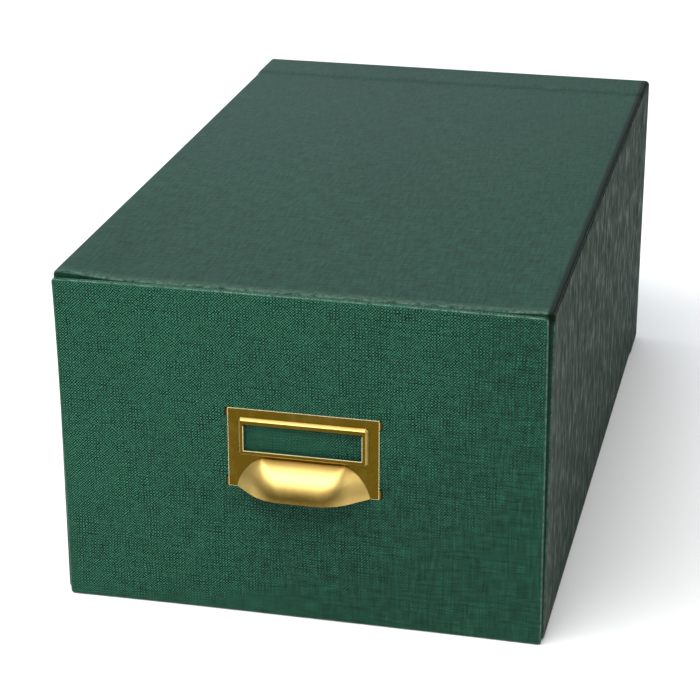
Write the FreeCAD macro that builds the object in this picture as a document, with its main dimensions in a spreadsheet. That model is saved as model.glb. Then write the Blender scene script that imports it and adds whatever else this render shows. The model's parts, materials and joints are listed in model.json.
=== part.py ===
import FreeCAD, Part
import math
import os
import Sketcher

# Index card box: a covered board case, open at the front, and a drawer that slides right out of it.
# The drawer has a false front that closes over the mouth of the case, with a pressed brass pull.
# Lengths are in millimetres. X runs along the front, Y from the front to the back, Z up.
# The pieces are drawn with y = 0 on the face of the false front and z = 0 on the table,
# and each one is then moved along Y so that the origin lies under the middle of the whole box.

doc = FreeCAD.newDocument("index_card_box")
sheet = doc.addObject("Spreadsheet::Sheet", "Sizes")
bodies = []


class Size:
    """A number together with the sheet formula that gives it."""

    def __init__(self, value, text):
        self.value = value
        self.text = text

    def __add__(self, other):
        other = as_size(other)
        return Size(self.value + other.value, f"({self.text} + {other.text})")

    def __radd__(self, other):
        return as_size(other) + self

    def __sub__(self, other):
        other = as_size(other)
        return Size(self.value - other.value, f"({self.text} - {other.text})")

    def __rsub__(self, other):
        return as_size(other) - self

    def __mul__(self, other):
        other = as_size(other)
        return Size(self.value * other.value, f"({self.text} * {other.text})")

    def __rmul__(self, other):
        return as_size(other) * self

    def __truediv__(self, other):
        other = as_size(other)
        return Size(self.value / other.value, f"({self.text} / {other.text})")

    def __neg__(self):
        return Size(-self.value, f"(-1 * {self.text})")


def as_size(number):
    """A plain number as a Size, and a Size as itself."""
    if isinstance(number, Size):
        return number
    return Size(float(number), f"({float(number)})")


def root(size):
    """The square root of a size."""
    return Size(math.sqrt(size.value), f"sqrt({size.text})")


def driving(alias, value, meaning):
    """Writes one driving dimension into the next row of the sheet and gives it as a Size."""
    driving.row += 1
    sheet.set(f"A{driving.row}", alias)
    sheet.set(f"B{driving.row}", str(value))
    sheet.set(f"C{driving.row}", meaning)
    sheet.setAlias(f"B{driving.row}", alias)
    return Size(float(value), f"Sizes.{alias}")


driving.row = 0

# Overall sizes
case_wide = driving("case_wide", 170.0, "width of the covered case")
case_tall = driving("case_tall", 120.0, "height of the covered case")
box_deep = driving("box_deep", 290.0, "depth of the closed box, from false front to back")

# Materials
board = driving("board", 2.5, "grey board of the case")
front_card = driving("front_card", 1.5, "thinner grey board of the false front")
tray_board = driving("tray_board", 2.0, "thinner grey board of the drawer")
cover = driving("cover", 0.4, "cloth-grained cover paper with its glue")
lining = driving("lining", 0.25, "lining paper of the drawer")
tape = driving("tape", 0.25, "gummed tape in the corners of the case")
brass = driving("brass", 0.5, "brass-plated sheet of the pull")

# Case
corner_round = driving("corner_round", 1.4, "rounding of the long corners, over the cover")
hem_round = driving("hem_round", 0.8, "rounding of a turned edge of cover paper")
under_turn = driving("under_turn", 20.0, "how far the wrap is turned under the base")
back_turn = driving("back_turn", 21.0, "how far the back cover is turned over the walls")
back_short = driving("back_short", 1.2, "how far the wrap ends before the back edge")
mouth_turn = driving("mouth_turn", 18.0, "how far the covers are turned into the mouth")
base_inset = driving("base_inset", 3.0, "how far a base sheet lies in from the edge")
tape_wide = driving("tape_wide", 14.0, "width of each leg of a corner tape")
tape_start = driving("tape_start", 1.0, "gap between a mouth turn-in and the tape")

# False front
front_step = driving("front_step", 1.2, "how much the case shows round the false front")
front_lift = driving("front_lift", 0.2, "false front clear of the table")
front_gap = driving("front_gap", 0.5, "gap between the false front and the mouth")
front_turn = driving("front_turn", 15.0, "turn-in of the cover behind the false front")

# Drawer
side_gap = driving("side_gap", 1.2, "room beside the drawer, on each side")
slide_gap = driving("slide_gap", 0.4, "room under the drawer")
back_gap = driving("back_gap", 2.0, "room behind the closed drawer")
wall_tall = driving("wall_tall", 103.0, "height of the drawer's walls")
wall_turn = driving("wall_turn", 15.0, "turn of the wrap over the rim and under the floor")
rim_show = driving("rim_show", 5.0, "turned-in cover left showing above the lining")

# Pull
pull_side = driving("pull_side", 2.0, "middle of the pull, to the right of the box's middle")
pull_low = driving("pull_low", 48.6, "lower edge of the pull's plate above the table")
plate_wide = driving("plate_wide", 52.4, "width of the plate")
plate_tall = driving("plate_tall", 29.0, "height of the plate")
window_wide = driving("window_wide", 40.8, "width of the label window")
window_tall = driving("window_tall", 9.6, "height of the label window")
window_drop = driving("window_drop", 5.3, "plate above the label window")
frame_rim = driving("frame_rim", 2.2, "width of the raised frame round the window")
frame_high = driving("frame_high", 1.3, "how far the frame is pressed out, room for a card")
frame_corner = driving("frame_corner", 1.3, "corner rounding of the raised frame")
frame_round = driving("frame_round", 1.0, "rounding of the frame's outer edge")
window_round = driving("window_round", 0.3, "rounding of the window's edge")
cup_tall = driving("cup_tall", 11.6, "height of the cup")
cup_out = driving("cup_out", 10.5, "how far the cup's lip stands out from the front")
cup_flat = driving("cup_flat", 28.8, "straight length of the cup's upper edge")
cup_side = driving("cup_side", 9.5, "how much further each end of the cup runs out at the lip")
cup_slope = driving("cup_slope", 1.1, "run of a slanting end of the cup for each unit out")
cup_corner = driving("cup_corner", 8.0, "rounding between front and slanting end, at the lip")
tab_wide = driving("tab_wide", 3.0, "width of a fixing tab")
tab_inset = driving("tab_inset", 0.4, "plate between a tab and the plate's corner")
tab_bend = driving("tab_bend", 0.3, "inner radius of a tab's bends")
tab_clinch = driving("tab_clinch", 4.0, "length of a tab bent flat behind the board")
tab_clear = driving("tab_clear", 0.05, "room on each face of a bent tab")
slot_play = driving("slot_play", 0.2, "room round a tab in its slot")

doc.recompute()

# Faces of the case, out from the middle, up from the table and back from the front
skin_x = case_wide / 2
wall_x = skin_x - cover
room_x = wall_x - board
mouth_x = room_x - cover
flap_x = skin_x - under_turn
board_z = 2 * cover
floor_z = board_z + board
sill_z = floor_z + cover
roof_z = case_tall - cover
ceiling_z = roof_z - board
lintel_z = ceiling_z - cover
front_back = 2 * cover + front_card
mouth_y = front_back + front_gap
edge_y = mouth_y + cover
back_y = box_deep - cover
turn_y = back_y - back_turn
hem_y = mouth_y + mouth_turn
inner_round = corner_round - cover


def settle(feature):
    """Recomputes and gives the feature back, or stops if it failed."""
    doc.recompute()
    if "Invalid" in feature.State or "Error" in feature.State or feature.Shape.isNull():
        raise RuntimeError(f"{feature.Name} failed: {feature.State}")
    return feature


def base_plane(body, role):
    """One of the body's own origin planes, by its role."""
    return [item for item in body.Origin.OriginFeatures if item.Role == role][0]


def make_body(name):
    """A new body for one physical piece."""
    body = doc.addObject("PartDesign::Body", name)
    body.Label = name
    bodies.append(body)
    return body


def make_sketch(body, name, role, offset):
    """A sketch on one of the body's origin planes, moved along the plane's normal."""
    sketch = body.newObject("Sketcher::SketchObject", name)
    sketch.AttachmentSupport = [(base_plane(body, role), "")]
    sketch.MapMode = "FlatFace"
    sketch.setExpression("AttachmentOffset.Base.z", offset.text)
    return sketch


def tie(sketch, kind, name, index, point, size):
    """Holds one end of a line at a distance from the sketch's origin, along X or Y."""
    number = sketch.addConstraint(Sketcher.Constraint(kind, -1, 1, index, point, size.value))
    sketch.renameConstraint(number, name)
    sketch.setExpression(f"Constraints.{name}", size.text)


def rectangle(sketch, across, along, prefix=""):
    """A rectangle between two places along each axis of the sketch."""
    (left, right), (near, far) = across, along
    first = sketch.GeometryCount
    corners = [(left, near), (right, near), (right, far), (left, far)]
    points = [FreeCAD.Vector(x.value, y.value, 0) for x, y in corners]
    for index in range(4):
        sketch.addGeometry(Part.LineSegment(points[index], points[(index + 1) % 4]), False)
    for index in range(4):
        sketch.addConstraint(Sketcher.Constraint("Coincident", first + index, 2, first + (index + 1) % 4, 1))
    for index in (0, 2):
        sketch.addConstraint(Sketcher.Constraint("Horizontal", first + index))
    for index in (1, 3):
        sketch.addConstraint(Sketcher.Constraint("Vertical", first + index))
    tie(sketch, "DistanceX", f"{prefix}left", first, 1, left)
    tie(sketch, "DistanceY", f"{prefix}near", first, 1, near)
    tie(sketch, "DistanceX", f"{prefix}right", first + 2, 1, right)
    tie(sketch, "DistanceY", f"{prefix}far", first + 2, 1, far)


def rounded_rectangle(sketch, across, upward, radius):
    """An upright rectangle with four rounded corners, seen from the front."""
    (left, right), (low, high) = across, upward
    curve = radius.value
    west, east, south, north = left.value, right.value, low.value, high.value
    sides = [((west + curve, south), (east - curve, south)), ((east, south + curve), (east, north - curve)),
             ((east - curve, north), (west + curve, north)), ((west, north - curve), (west, south + curve))]
    centres = [(east - curve, south + curve), (east - curve, north - curve),
               (west + curve, north - curve), (west + curve, south + curve)]
    normal = FreeCAD.Vector(0, 0, 1)
    for number in range(4):
        start, end = (FreeCAD.Vector(x, y, 0) for x, y in sides[number])
        sketch.addGeometry(Part.LineSegment(start, end), False)
        circle = Part.Circle(FreeCAD.Vector(*centres[number], 0), normal, curve)
        turn = math.radians(90 * (number - 1))
        sketch.addGeometry(Part.ArcOfCircle(circle, turn, turn + math.radians(90)), False)
    for number in range(8):
        sketch.addConstraint(Sketcher.Constraint("Tangent", number, 2, (number + 1) % 8, 1))
    for number in (0, 4):
        sketch.addConstraint(Sketcher.Constraint("Horizontal", number))
    for number in (2, 6):
        sketch.addConstraint(Sketcher.Constraint("Vertical", number))
    tie(sketch, "DistanceY", "low", 0, 1, low)
    tie(sketch, "DistanceX", "right", 2, 1, right)
    tie(sketch, "DistanceY", "high", 4, 1, high)
    tie(sketch, "DistanceX", "left", 6, 1, left)
    number = sketch.addConstraint(Sketcher.Constraint("Radius", 1, curve))
    sketch.renameConstraint(number, "corner")
    sketch.setExpression("Constraints.corner", radius.text)
    for arc in (3, 5):
        sketch.addConstraint(Sketcher.Constraint("Equal", 1, arc))


def run(body, kind, name, across, upward, along, radius, core=None):
    """Adds (Pad) or takes away (Pocket) a bar with rounded long corners, running front to back.

    core gives a rectangle, as its places across and upward, that is left out of the bar.
    """
    near, far = along
    before = body.Tip.Shape.Volume if body.Tip else 0
    sketch = make_sketch(body, f"{name}_outline", "XZ_Plane", -near)
    rounded_rectangle(sketch, across, upward, radius)
    if core:
        rectangle(sketch, *core, prefix="core_")
    feature = body.newObject(f"PartDesign::{kind}", name)
    feature.Profile = sketch
    feature.Reversed = kind == "Pad"
    feature.setExpression("Length", (far - near).text)
    settle(feature)
    if kind == "Pocket" and feature.Shape.Volume > before - 1e-6:
        raise RuntimeError(f"{body.Label}: {name} takes nothing away")
    return feature


def fill(body, name, across, along, upward):
    """Adds a block between two places along each axis."""
    low, high = upward
    sketch = make_sketch(body, f"{name}_outline", "XY_Plane", low)
    rectangle(sketch, across, along)
    feature = body.newObject("PartDesign::Pad", name)
    feature.Profile = sketch
    feature.setExpression("Length", (high - low).text)
    return settle(feature)


def clear(body, name, across, along, upward):
    """Takes a block away between two places along each axis."""
    low, high = upward
    before = body.Tip.Shape.Volume
    sketch = make_sketch(body, f"{name}_outline", "XY_Plane", low)
    rectangle(sketch, across, along)
    feature = body.newObject("PartDesign::Pocket", name)
    feature.Profile = sketch
    feature.Reversed = True
    feature.setExpression("Length", (high - low).text)
    settle(feature)
    if feature.Shape.Volume > before - 1e-6:
        raise RuntimeError(f"{body.Label}: {name} takes nothing away")
    return feature


def soften(body, name, radius, pick):
    """Rounds the edges of the body for which pick(edge) is true."""
    base = body.Tip
    edges = base.Shape.Edges
    names = [f"Edge{number + 1}" for number, edge in enumerate(edges) if pick(edge)]
    if not names:
        raise RuntimeError(f"{body.Label}: {name} finds no edge")
    feature = body.newObject("PartDesign::Fillet", name)
    feature.Base = (base, names)
    feature.setExpression("Radius", radius.text)
    return settle(feature)


def lies(edge, axis, *places):
    """True where both ends of an edge are at one of the places along axis 0, 1 or 2."""
    ends = [vertex.Point[axis] for vertex in edge.Vertexes]
    return any(all(abs(end - place.value) < 1e-4 for end in ends) for place in places)


def both(size):
    """The place and its mirror image about the box's middle plane."""
    return (-size, size)


nothing = as_size(0)


# Case: five boards
def side_board(name, across, outside):
    """A side wall of the case, with its two long outer edges eased for the cover."""
    body = make_body(name)
    fill(body, "wall", across, (edge_y, back_y), (board_z, roof_z))
    soften(body, "eased_edges", inner_round,
           lambda edge: lies(edge, 0, outside) and lies(edge, 2, board_z, roof_z))


side_board("case_left_board", (-wall_x, -room_x), -wall_x)
side_board("case_right_board", (room_x, wall_x), wall_x)
fill(make_body("case_top_board"), "wall", both(room_x), (edge_y, back_y), (ceiling_z, roof_z))
fill(make_body("case_bottom_board"), "wall", both(room_x), (edge_y, back_y), (board_z, floor_z))
fill(make_body("case_back_board"), "wall", both(room_x), (back_y - board, back_y), (floor_z, ceiling_z))


def make_case_wrap():
    """One sheet over the left wall, the top and the right wall, turned under and into the mouth."""
    body = make_body("case_wrap")
    raised_x = skin_x + cover
    raised_z = case_tall + cover
    trim_z = board_z + corner_round
    end_y = back_y - back_short
    # The last stretch lies over the turned edge of the back cover, so it stands one cover higher.
    fill(body, "raised_band", both(raised_x), (turn_y - cover, end_y), (trim_z, raised_z))
    soften(body, "band_corners", corner_round + cover,
           lambda edge: lies(edge, 0, *both(raised_x)) and lies(edge, 2, raised_z))
    run(body, "Pad", "skin", both(skin_x), (cover, case_tall), (mouth_y, turn_y), corner_round)
    soften(body, "mouth_outer_edge", hem_round, lambda edge: lies(edge, 1, mouth_y))
    clear(body, "mouth", both(mouth_x), (mouth_y, hem_y), (floor_z, lintel_z))
    soften(body, "mouth_inner_edge", hem_round,
           lambda edge: lies(edge, 1, mouth_y) and (lies(edge, 0, *both(mouth_x)) or lies(edge, 2, lintel_z)))
    outer_bar = (both(wall_x), (board_z, roof_z))
    run(body, "Pocket", "room_round_the_turn_in", *outer_bar, (edge_y, hem_y), inner_round,
        core=(both(room_x), (floor_z, ceiling_z)))
    run(body, "Pocket", "room_for_boards", *outer_bar, (hem_y, turn_y), inner_round)
    run(body, "Pocket", "room_for_back_cover", both(skin_x), (nothing, case_tall), (turn_y, end_y),
        corner_round)
    clear(body, "base_field", both(flap_x), (mouth_y, turn_y), (nothing, board_z))
    clear(body, "sill", both(room_x), (mouth_y, edge_y), (nothing, floor_z))


def make_back_cover():
    """The sheet over the back wall, turned forward over all four walls under the wrap."""
    body = make_body("case_back_cover")
    run(body, "Pad", "skin", both(skin_x), (cover, case_tall), (turn_y, box_deep), corner_round)
    soften(body, "back_edge", hem_round, lambda edge: lies(edge, 1, box_deep))
    run(body, "Pocket", "room_for_boards", both(wall_x), (board_z, roof_z), (turn_y, back_y), inner_round)


def make_case_base_sheet():
    """The sheet under the case: on the board between the turned flaps, and under the flaps."""
    body = make_body("case_base_sheet")
    edge_x = skin_x - base_inset
    step_x = flap_x - cover
    fill(body, "field", both(flap_x), (mouth_y, turn_y), (cover, board_z))
    fill(body, "left_edge", (-edge_x, -step_x), (mouth_y, turn_y), (nothing, cover))
    fill(body, "right_edge", (step_x, edge_x), (mouth_y, turn_y), (nothing, cover))
    fill(body, "back_edge", both(edge_x), (turn_y - cover, box_deep - base_inset), (nothing, cover))
    fill(body, "turn_up", both(room_x), (mouth_y, edge_y), (cover, floor_z))
    fill(body, "turn_in", both(mouth_x), (mouth_y, hem_y), (floor_z, sill_z))
    soften(body, "sill_edge", hem_round, lambda edge: lies(edge, 1, mouth_y) and lies(edge, 2, sill_z))


def make_corner_tape(name, side_leg, flat_leg, upright, level):
    """A strip of gummed tape folded into one long inside corner of the case."""
    body = make_body(name)
    along = (hem_y + tape_start, back_y - board)
    fill(body, "side_leg", side_leg, along, upright)
    fill(body, "flat_leg", flat_leg, along, level)


make_case_wrap()
make_back_cover()
make_case_base_sheet()

tape_upper = (ceiling_z - tape_wide, ceiling_z)
tape_lower = (floor_z, floor_z + tape_wide)
tape_ceiling = (ceiling_z - tape, ceiling_z)
tape_floor = (floor_z, floor_z + tape)
for level_name, upright, level in (("top", tape_upper, tape_ceiling), ("bottom", tape_lower, tape_floor)):
    make_corner_tape(f"case_{level_name}_left_tape", (-room_x, tape - room_x),
                     (-room_x, tape_wide - room_x), upright, level)
    make_corner_tape(f"case_{level_name}_right_tape", (room_x - tape, room_x),
                     (room_x - tape_wide, room_x), upright, level)

# Faces of the drawer
tray_x = mouth_x - side_gap
tray_wall_x = tray_x - cover
tray_room_x = tray_wall_x - tray_board
tray_hem_x = tray_room_x - cover
tray_low_z = sill_z + slide_gap
tray_flap_z = tray_low_z + cover
tray_board_z = tray_flap_z + cover
tray_floor_z = tray_board_z + tray_board
tray_top_z = tray_board_z + wall_tall
rim_z = tray_top_z + cover
hem_z = tray_top_z - wall_turn
tray_front_y = front_back
tray_back_y = back_y - board - back_gap
tray_wall_y = (tray_front_y + cover, tray_back_y - cover)
tray_room_y = (tray_wall_y[0] + tray_board, tray_wall_y[1] - tray_board)
tray_hem_y = (tray_room_y[0] + cover, tray_room_y[1] - cover)


def inside(pair, inset):
    """A pair of places drawn in by the same amount at both ends."""
    return (pair[0] + inset, pair[1] - inset)


# Drawer: five boards
tray_wall_z = (tray_board_z, tray_top_z)
fill(make_body("drawer_left_board"), "wall", (-tray_wall_x, -tray_room_x), tray_wall_y, tray_wall_z)
fill(make_body("drawer_right_board"), "wall", (tray_room_x, tray_wall_x), tray_wall_y, tray_wall_z)
fill(make_body("drawer_inner_board"), "wall", both(tray_room_x), (tray_wall_y[0], tray_room_y[0]),
     tray_wall_z)
fill(make_body("drawer_back_board"), "wall", both(tray_room_x), (tray_room_y[1], tray_wall_y[1]),
     tray_wall_z)
fill(make_body("drawer_floor_board"), "floor", both(tray_room_x), tray_room_y, (tray_board_z, tray_floor_z))


def make_drawer_wrap():
    """The strip round the drawer's walls, turned over the rim and under the floor."""
    body = make_body("drawer_wrap")
    outer_y = (tray_front_y, tray_back_y)
    fill(body, "skin", both(tray_x), outer_y, (tray_flap_z, rim_z))
    soften(body, "turned_edges", hem_round, lambda edge: True)
    clear(body, "room_for_boards", both(tray_wall_x), tray_wall_y, (tray_board_z, tray_top_z))
    clear(body, "floor_field", both(tray_x - wall_turn), inside(outer_y, wall_turn),
          (tray_flap_z, tray_board_z))
    fill(body, "hem_block", both(tray_room_x), tray_room_y, (hem_z, tray_top_z))
    clear(body, "opening", both(tray_hem_x), tray_hem_y, (hem_z, rim_z))

    def inner_rim(edge):
        return lies(edge, 2, rim_z) and (lies(edge, 0, *both(tray_hem_x)) or lies(edge, 1, *tray_hem_y))

    soften(body, "rim_inner_edge", hem_round, inner_rim)


def make_drawer_base_sheet():
    """The sheet under the drawer: on the floor board inside the flaps, and under the flaps."""
    body = make_body("drawer_base_sheet")
    outer_y = (tray_front_y, tray_back_y)
    step = wall_turn + cover
    fill(body, "edge", both(tray_x - base_inset), inside(outer_y, base_inset), (tray_low_z, tray_flap_z))
    clear(body, "edge_field", both(tray_x - step), inside(outer_y, step), (tray_low_z, tray_flap_z))
    fill(body, "field", both(tray_x - wall_turn), inside(outer_y, wall_turn), (tray_flap_z, tray_board_z))


def make_wall_lining():
    """The lining round the inside of the drawer, stepped over the turned-in wrap."""
    body = make_body("drawer_wall_lining")
    top_z = tray_top_z - rim_show
    ledge_z = hem_z - lining
    fill(body, "lower", both(tray_room_x), tray_room_y, (tray_floor_z, hem_z))
    fill(body, "upper", both(tray_hem_x), tray_hem_y, (hem_z, top_z))
    clear(body, "lower_room", both(tray_room_x - lining), inside(tray_room_y, lining),
          (tray_floor_z, ledge_z))
    clear(body, "upper_room", both(tray_hem_x - lining), inside(tray_hem_y, lining), (ledge_z, top_z))


make_drawer_wrap()
make_drawer_base_sheet()
make_wall_lining()
fill(make_body("drawer_floor_lining"), "sheet", both(tray_room_x - lining), inside(tray_room_y, lining),
     (tray_floor_z, tray_floor_z + lining))

# Faces of the false front and of the pull
front_x = both(skin_x - front_step)
front_low_z = front_lift
front_top_z = case_tall - front_step
front_board_y = (cover, cover + front_card)
plate_x = (pull_side - plate_wide / 2, pull_side + plate_wide / 2)
plate_z = (pull_low, pull_low + plate_tall)
tab_low_z = (plate_z[0] + tab_inset, plate_z[0] + tab_inset + tab_wide)
tab_high_z = (plate_z[1] - tab_inset - tab_wide, plate_z[1] - tab_inset)
tab_reach = tab_bend + brass
clinch_back_y = front_back - tab_clear
clinch_front_y = clinch_back_y - brass
tabs = (("low", tab_low_z), ("high", tab_high_z))


def cut_tab_slots(body, along):
    """Four slots for the pull's tabs, just outside the plate's side edges."""
    reach = tab_reach + slot_play
    for level_name, upright in tabs:
        tall = inside(upright, -slot_play)
        clear(body, f"left_{level_name}_slot", (plate_x[0] - reach, plate_x[0]), along, tall)
        clear(body, f"right_{level_name}_slot", (plate_x[1], plate_x[1] + reach), along, tall)


def make_front_board():
    """The board of the false front, with slots and shallow crushed seats for the tabs."""
    body = make_body("front_board")
    upright = (front_low_z + cover, front_top_z - cover)
    fill(body, "panel", inside(front_x, cover), front_board_y, upright)
    cut_tab_slots(body, front_board_y)
    seat_y = (clinch_front_y - tab_clear, front_board_y[1])
    reach = tab_clinch + slot_play
    for level_name, tab_z in tabs:
        tall = inside(tab_z, -slot_play)
        clear(body, f"left_{level_name}_seat", (plate_x[0], plate_x[0] + reach), seat_y, tall)
        clear(body, f"right_{level_name}_seat", (plate_x[1] - reach, plate_x[1]), seat_y, tall)


def make_front_cover():
    """The cover of the false front, turned over all four edges onto the back of the board."""
    body = make_body("front_cover")
    fill(body, "skin", front_x, (nothing, front_back), (front_low_z, front_top_z))
    soften(body, "turned_edges", hem_round, lambda edge: True)
    upright = (front_low_z + cover, front_top_z - cover)
    clear(body, "room_for_board", inside(front_x, cover), front_board_y, upright)
    clear(body, "back_field", inside(front_x, front_turn), (front_board_y[1], front_back),
          (front_low_z + front_turn, front_top_z - front_turn))
    cut_tab_slots(body, (nothing, cover))


def cup_section(body, name, part_out, full_out, full_tall, side):
    """A level section of the cup: a trapezium with two rounded corners, its long side on the front.

    The cup is a quarter of an ellipse from the plate to the lip. part_out is how far this section
    stands out; its height and its width follow from that.
    """
    share = part_out / full_out
    height = pull_low + full_tall * root(1 - share * share)
    half = cup_flat / 2 + side * share
    radius = cup_corner * share
    tangent = radius * (root(cup_slope * cup_slope + 1) - cup_slope)
    front_half = half - cup_slope * part_out - tangent
    sketch = make_sketch(body, name, "XY_Plane", height)
    slant = math.atan(1 / cup_slope.value)
    middle, out = pull_side.value, part_out.value
    down = math.radians(-90)
    centre_y = radius.value - out
    right_centre = FreeCAD.Vector(middle + front_half.value, centre_y, 0)
    left_centre = FreeCAD.Vector(middle - front_half.value, centre_y, 0)
    normal = FreeCAD.Vector(0, 0, 1)
    right_arc = Part.ArcOfCircle(Part.Circle(right_centre, normal, radius.value), down, down + slant)
    left_arc = Part.ArcOfCircle(Part.Circle(left_centre, normal, radius.value), down - slant, down)
    left_end = FreeCAD.Vector(middle - half.value, 0, 0)
    right_end = FreeCAD.Vector(middle + half.value, 0, 0)
    sketch.addGeometry(Part.LineSegment(left_end, right_end), False)
    sketch.addGeometry(Part.LineSegment(right_end, right_arc.EndPoint), False)
    sketch.addGeometry(right_arc, False)
    sketch.addGeometry(Part.LineSegment(right_arc.StartPoint, left_arc.EndPoint), False)
    sketch.addGeometry(left_arc, False)
    sketch.addGeometry(Part.LineSegment(left_arc.StartPoint, left_end), False)
    sketch.addConstraint(Sketcher.Constraint("Coincident", 0, 2, 1, 1))
    sketch.addConstraint(Sketcher.Constraint("Coincident", 5, 2, 0, 1))
    sketch.addConstraint(Sketcher.Constraint("Tangent", 1, 2, 2, 2))
    sketch.addConstraint(Sketcher.Constraint("Tangent", 2, 1, 3, 1))
    sketch.addConstraint(Sketcher.Constraint("Tangent", 3, 2, 4, 2))
    sketch.addConstraint(Sketcher.Constraint("Tangent", 4, 1, 5, 1))
    sketch.addConstraint(Sketcher.Constraint("PointOnObject", 0, 1, -1))
    sketch.addConstraint(Sketcher.Constraint("PointOnObject", 0, 2, -1))
    sketch.addConstraint(Sketcher.Constraint("Horizontal", 3))
    tie(sketch, "DistanceX", "left_end", 0, 1, pull_side - half)
    tie(sketch, "DistanceX", "right_end", 0, 2, pull_side + half)
    tie(sketch, "DistanceX", "front_right", 3, 1, pull_side + front_half)
    tie(sketch, "DistanceX", "front_left", 3, 2, pull_side - front_half)
    tie(sketch, "DistanceY", "front", 3, 1, -part_out)
    for number, arc in ((2, "right_radius"), (4, "left_radius")):
        index = sketch.addConstraint(Sketcher.Constraint("Radius", number, radius.value))
        sketch.renameConstraint(index, arc)
    sketch.setExpression("Constraints.right_radius", radius.text)
    return sketch


def loft(body, kind, name, sections, straight):
    """A loft of the kind given through level sections, smooth or straight from one to the next."""
    feature = body.newObject(kind, name)
    feature.Profile = sections[0]
    feature.Sections = sections[1:]
    feature.Ruled = straight
    return settle(feature)


def add_cup(body):
    """The cup: drawn out of the plate and left open at the back and below.

    Its outside is smooth. Its inside, out of sight, runs straight from section to section.
    """
    shares = [math.cos(math.radians(angle)) for angle in (0, 15, 30, 45, 60, 75)]
    inner_out = cup_out - brass
    outer_size = (cup_out, cup_tall, cup_side)
    inner_size = tuple(size - brass for size in outer_size)
    outer = [cup_section(body, f"outer_{number}", cup_out * share, *outer_size)
             for number, share in enumerate(shares)]
    outer.append(cup_section(body, "outer_root", brass, *outer_size))
    inner = [cup_section(body, f"inner_{number}", inner_out * share, *inner_size)
             for number, share in enumerate(shares)]
    inner.append(cup_section(body, "inner_root", brass, *inner_size))
    doc.recompute()
    loft(body, "PartDesign::AdditiveLoft", "cup_outside", outer, straight=False)
    before = body.Tip.Shape.Volume
    loft(body, "PartDesign::SubtractiveLoft", "cup_inside", inner, straight=True)
    if body.Tip.Shape.Volume > before - 1e-6:
        raise RuntimeError("the inside of the cup takes nothing away")


def add_tab(body, name, edge_x, outward, upright):
    """A tab bent back from one side edge of the plate, through its slot, and flat behind the board."""
    bend_x = edge_x + outward * tab_bend
    outer_x = edge_x + outward * tab_reach
    tip_x = edge_x - outward * tab_clinch

    def ordered(first, second):
        return (first, second) if first.value < second.value else (second, first)

    fill(body, f"{name}_root", ordered(edge_x, outer_x), (-brass, nothing), upright)
    fill(body, f"{name}_leg", ordered(bend_x, outer_x), (-brass, clinch_back_y), upright)
    fill(body, f"{name}_clinch", ordered(tip_x, outer_x), (clinch_front_y, clinch_back_y), upright)

    def upright_edge(edge, x_place, *y_places):
        ends = sorted(vertex.Point[2] for vertex in edge.Vertexes)
        tall = abs(ends[0] - upright[0].value) < 1e-4 and abs(ends[-1] - upright[1].value) < 1e-4
        return tall and lies(edge, 0, x_place) and lies(edge, 1, *y_places)

    soften(body, f"{name}_outer_bends", tab_reach,
           lambda edge: upright_edge(edge, outer_x, -brass, clinch_back_y))
    soften(body, f"{name}_inner_bends", tab_bend,
           lambda edge: upright_edge(edge, bend_x, nothing, clinch_front_y))


def make_pull():
    """The pull, pressed from one brass-plated sheet: plate, label frame, cup and four tabs."""
    body = make_body("label_pull")
    window_x = (pull_side - window_wide / 2, pull_side + window_wide / 2)
    window_z = (plate_z[1] - window_drop - window_tall, plate_z[1] - window_drop)
    frame_x, frame_z = inside(window_x, -frame_rim), inside(window_z, -frame_rim)
    frame_y = -(brass + frame_high)
    fill(body, "frame", frame_x, (frame_y, nothing), frame_z)
    soften(body, "frame_corners", frame_corner,
           lambda edge: lies(edge, 0, *frame_x) and lies(edge, 2, *frame_z))
    soften(body, "frame_edge", frame_round, lambda edge: lies(edge, 1, frame_y))
    fill(body, "plate", plate_x, (-brass, nothing), plate_z)
    clear(body, "card_room", inside(frame_x, brass), (-frame_high, nothing), inside(frame_z, brass))
    clear(body, "window", window_x, (frame_y, -frame_high), window_z)
    soften(body, "window_edge", window_round,
           lambda edge: lies(edge, 1, frame_y) and (lies(edge, 0, *window_x) or lies(edge, 2, *window_z)))
    add_cup(body)
    for level_name, upright in tabs:
        add_tab(body, f"left_{level_name}_tab", plate_x[0], -1, upright)
        add_tab(body, f"right_{level_name}_tab", plate_x[1], 1, upright)


make_front_board()
make_front_cover()
make_pull()

# The cup stands out by cup_out, so this brings the middle of the whole depth to y = 0.
shift_y = (cup_out - box_deep) / 2
for body in bodies:
    body.setExpression("Placement.Base.y", shift_y.text)
doc.recompute()

for item in doc.Objects:
    if "Invalid" in item.State or "Error" in item.State:
        raise RuntimeError(f"{item.Label} did not recompute: {item.State}")

os.makedirs("parts", exist_ok=True)
for body in bodies:
    shape = body.Shape
    if shape.isNull() or not shape.isValid() or len(shape.Solids) != 1:
        raise RuntimeError(f"{body.Label} is not one good solid")
    shape.exportStep(f"parts/{body.Label}.step")
    box = shape.BoundBox
    size_text = " x ".join(f"{length:.1f}" for length in (box.XLength, box.YLength, box.ZLength))
    print(f"{body.Label}: {shape.Volume:.0f} mm3, {size_text} mm")
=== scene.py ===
# %% [markdown]
# An index card box, made to be looked at
#
# The real thing is a case of grey board under dark green linen-grained cover paper, with a drawer
# that slides out of its front. The drawer has a false front with a pressed brass pull.
# The boards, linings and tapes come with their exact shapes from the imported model. This notebook
# gives them their finishes, and makes the covers and the pull again as surfaces that bend,
# sag and catch the light as the real ones do.

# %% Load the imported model
import json
import math

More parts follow.
